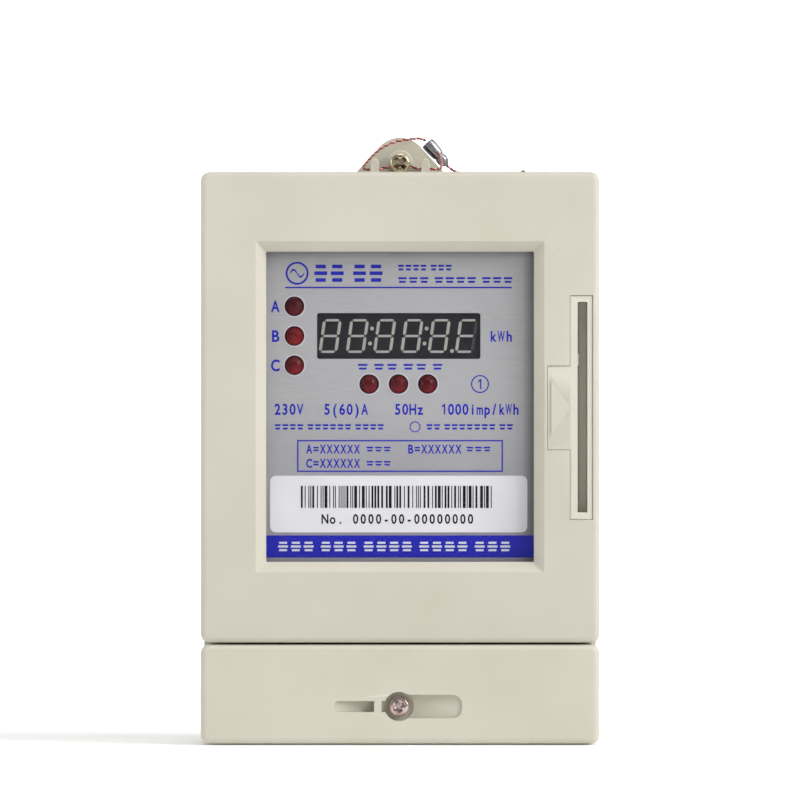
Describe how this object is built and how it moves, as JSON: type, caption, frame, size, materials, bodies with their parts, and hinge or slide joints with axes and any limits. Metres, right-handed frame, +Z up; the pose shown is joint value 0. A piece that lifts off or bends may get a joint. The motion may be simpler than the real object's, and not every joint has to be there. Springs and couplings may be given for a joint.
{
  "type": "prepaid electricity meter",
  "caption": "Wall-mounted prepaid electricity meter: bevelled window over an LED display and indicators, smart-card slot, sealed covers and a terminal cover.",
  "frame": {"origin": "middle of the flat rear face, half way up the body without its hanger tab", "axes": "+Y out of the rear face into the wall, -Y towards the user, +Z up, +X to the user's right"},
  "size_m": [0.106, 0.07, 0.1624],
  "materials": {
    "ivory_plastic": "moulded, fine spark-eroded texture",
    "clear_lens": "clear polished",
    "silver_plate": "fine satin, printed",
    "led_red": "tinted clear",
    "display_black": "polished face",
    "black_plastic": "moulded",
    "white_plastic": "moulded",
    "circuit_board": "solder resist",
    "varistor_blue": "dipped",
    "terminal_brass": "machined",
    "copper": "drawn",
    "zinc_steel": "zinc plated",
    "seal_wire": "twisted, lacquered",
    "lead": "cast and crimped"
  },
  "bodies": {
    "meter_body": {"rear_base": "ivory_plastic", "front_cover": "ivory_plastic", "card_slot_insert": "ivory_plastic", "window_lens": "clear_lens", "nameplate": "silver_plate", "status_led_a": "led_red", "status_led_b": "led_red", "status_led_c": "led_red", "alarm_led_1": "led_red", "alarm_led_2": "led_red", "alarm_led_3": "led_red", "digit_display": "display_black", "card_reader_housing": "black_plastic", "terminal_block": "black_plastic", "relay_base": "black_plastic", "relay_cover": "black_plastic", "control_chip": "black_plastic", "smoothing_capacitor": "black_plastic", "nameplate_holder": "white_plastic", "board_ribbon": "white_plastic", "power_board": "circuit_board", "display_board": "circuit_board", "surge_varistor": "varistor_blue", "terminal_line_in": "terminal_brass", "terminal_line_out": "terminal_brass", "terminal_neutral_in": "terminal_brass", "terminal_neutral_out": "terminal_brass", "card_contacts": "terminal_brass", "current_shunt": "copper", "load_busbar": "copper", "neutral_link": "copper", "relay_fixed_contact": "copper", "relay_coil": "copper", "transformer_winding": "copper", "seal_screw": "zinc_steel", "cover_screw_1": "zinc_steel", "cover_screw_2": "zinc_steel", "transformer_core": "zinc_steel", "board_screw_1": "zinc_steel", "board_screw_2": "zinc_steel", "board_screw_3": "zinc_steel", "board_screw_4": "zinc_steel", "seal_wire_loop": "seal_wire", "seal_wire_tail": "seal_wire", "lead_seal": "lead"},
    "terminal_cover": {"terminal_cover": "ivory_plastic"},
    "terminal_cover_screw": {"terminal_cover_screw": "zinc_steel", "screw_retainer": "white_plastic"},
    "card_detect_lever": {"card_detect_lever": "white_plastic"},
    "card_slot_flap": {"card_slot_flap": "ivory_plastic"},
    "relay_armature": {"relay_armature": "white_plastic"},
    "relay_contact_arm": {"relay_contact_arm": "copper"},
    "clamp_screw_1_lower": {"clamp_screw_1_lower": "zinc_steel"},
    "clamp_screw_1_upper": {"clamp_screw_1_upper": "zinc_steel"},
    "clamp_screw_2_lower": {"clamp_screw_2_lower": "zinc_steel"},
    "clamp_screw_2_upper": {"clamp_screw_2_upper": "zinc_steel"},
    "clamp_screw_3_lower": {"clamp_screw_3_lower": "zinc_steel"},
    "clamp_screw_3_upper": {"clamp_screw_3_upper": "zinc_steel"},
    "clamp_screw_4_lower": {"clamp_screw_4_lower": "zinc_steel"},
    "clamp_screw_4_upper": {"clamp_screw_4_upper": "zinc_steel"}
  },
  "joints": [
    {"name": "terminal_cover_pull", "type": "slide", "parent": "meter_body", "child": "terminal_cover", "axis": [0, -1, 0], "range_m": [0, 0.06]},
    {"name": "terminal_cover_screw_turn", "type": "hinge", "parent": "terminal_cover", "child": "terminal_cover_screw", "pos_m": [-0.0003, -0.06, -0.0661], "axis": [0, -1, 0], "continuous": true},
    {"name": "card_lever_swing", "type": "hinge", "parent": "meter_body", "child": "card_detect_lever", "pos_m": [0.045, -0.05, 0.0262], "axis": [0, 0, 1], "range_deg": [-6, 0], "stiffness_Nm_per_rad": 0.02, "springref_deg": 5.73},
    {"name": "card_flap_swing", "type": "hinge", "parent": "meter_body", "child": "card_slot_flap", "pos_m": [0.04765, -0.0636, 0.01345], "axis": [0, 0, 1], "range_deg": [0, 80], "stiffness_Nm_per_rad": 0.00005, "springref_deg": -17.19},
    {"name": "relay_armature_rock", "type": "hinge", "parent": "meter_body", "child": "relay_armature", "pos_m": [-0.0195, -0.02, -0.008], "axis": [0, -1, 0], "range_deg": [0, 6]},
    {"name": "relay_contact_swing", "type": "hinge", "parent": "meter_body", "child": "relay_contact_arm", "pos_m": [-0.0214, -0.02, -0.025], "axis": [0, -1, 0], "range_deg": [-10, 0]},
    {"name": "clamp_screw_1_lower_turn", "type": "hinge", "parent": "meter_body", "child": "clamp_screw_1_lower", "pos_m": [-0.027, -0.04, -0.0672], "axis": [0, -1, 0], "continuous": true},
    {"name": "clamp_screw_1_upper_turn", "type": "hinge", "parent": "meter_body", "child": "clamp_screw_1_upper", "pos_m": [-0.027, -0.04, -0.0588], "axis": [0, -1, 0], "continuous": true},
    {"name": "clamp_screw_2_lower_turn", "type": "hinge", "parent": "meter_body", "child": "clamp_screw_2_lower", "pos_m": [-0.009, -0.04, -0.0672], "axis": [0, -1, 0], "continuous": true},
    {"name": "clamp_screw_2_upper_turn", "type": "hinge", "parent": "meter_body", "child": "clamp_screw_2_upper", "pos_m": [-0.009, -0.04, -0.0588], "axis": [0, -1, 0], "continuous": true},
    {"name": "clamp_screw_3_lower_turn", "type": "hinge", "parent": "meter_body", "child": "clamp_screw_3_lower", "pos_m": [0.009, -0.04, -0.0672], "axis": [0, -1, 0], "continuous": true},
    {"name": "clamp_screw_3_upper_turn", "type": "hinge", "parent": "meter_body", "child": "clamp_screw_3_upper", "pos_m": [0.009, -0.04, -0.0588], "axis": [0, -1, 0], "continuous": true},
    {"name": "clamp_screw_4_lower_turn", "type": "hinge", "parent": "meter_body", "child": "clamp_screw_4_lower", "pos_m": [0.027, -0.04, -0.0672], "axis": [0, -1, 0], "continuous": true},
    {"name": "clamp_screw_4_upper_turn", "type": "hinge", "parent": "meter_body", "child": "clamp_screw_4_upper", "pos_m": [0.027, -0.04, -0.0588], "axis": [0, -1, 0], "continuous": true}
  ],
  "couplings": [
    {"joint": "relay_contact_swing", "follows": "relay_armature_rock", "ratio": -1.615}
  ]
}
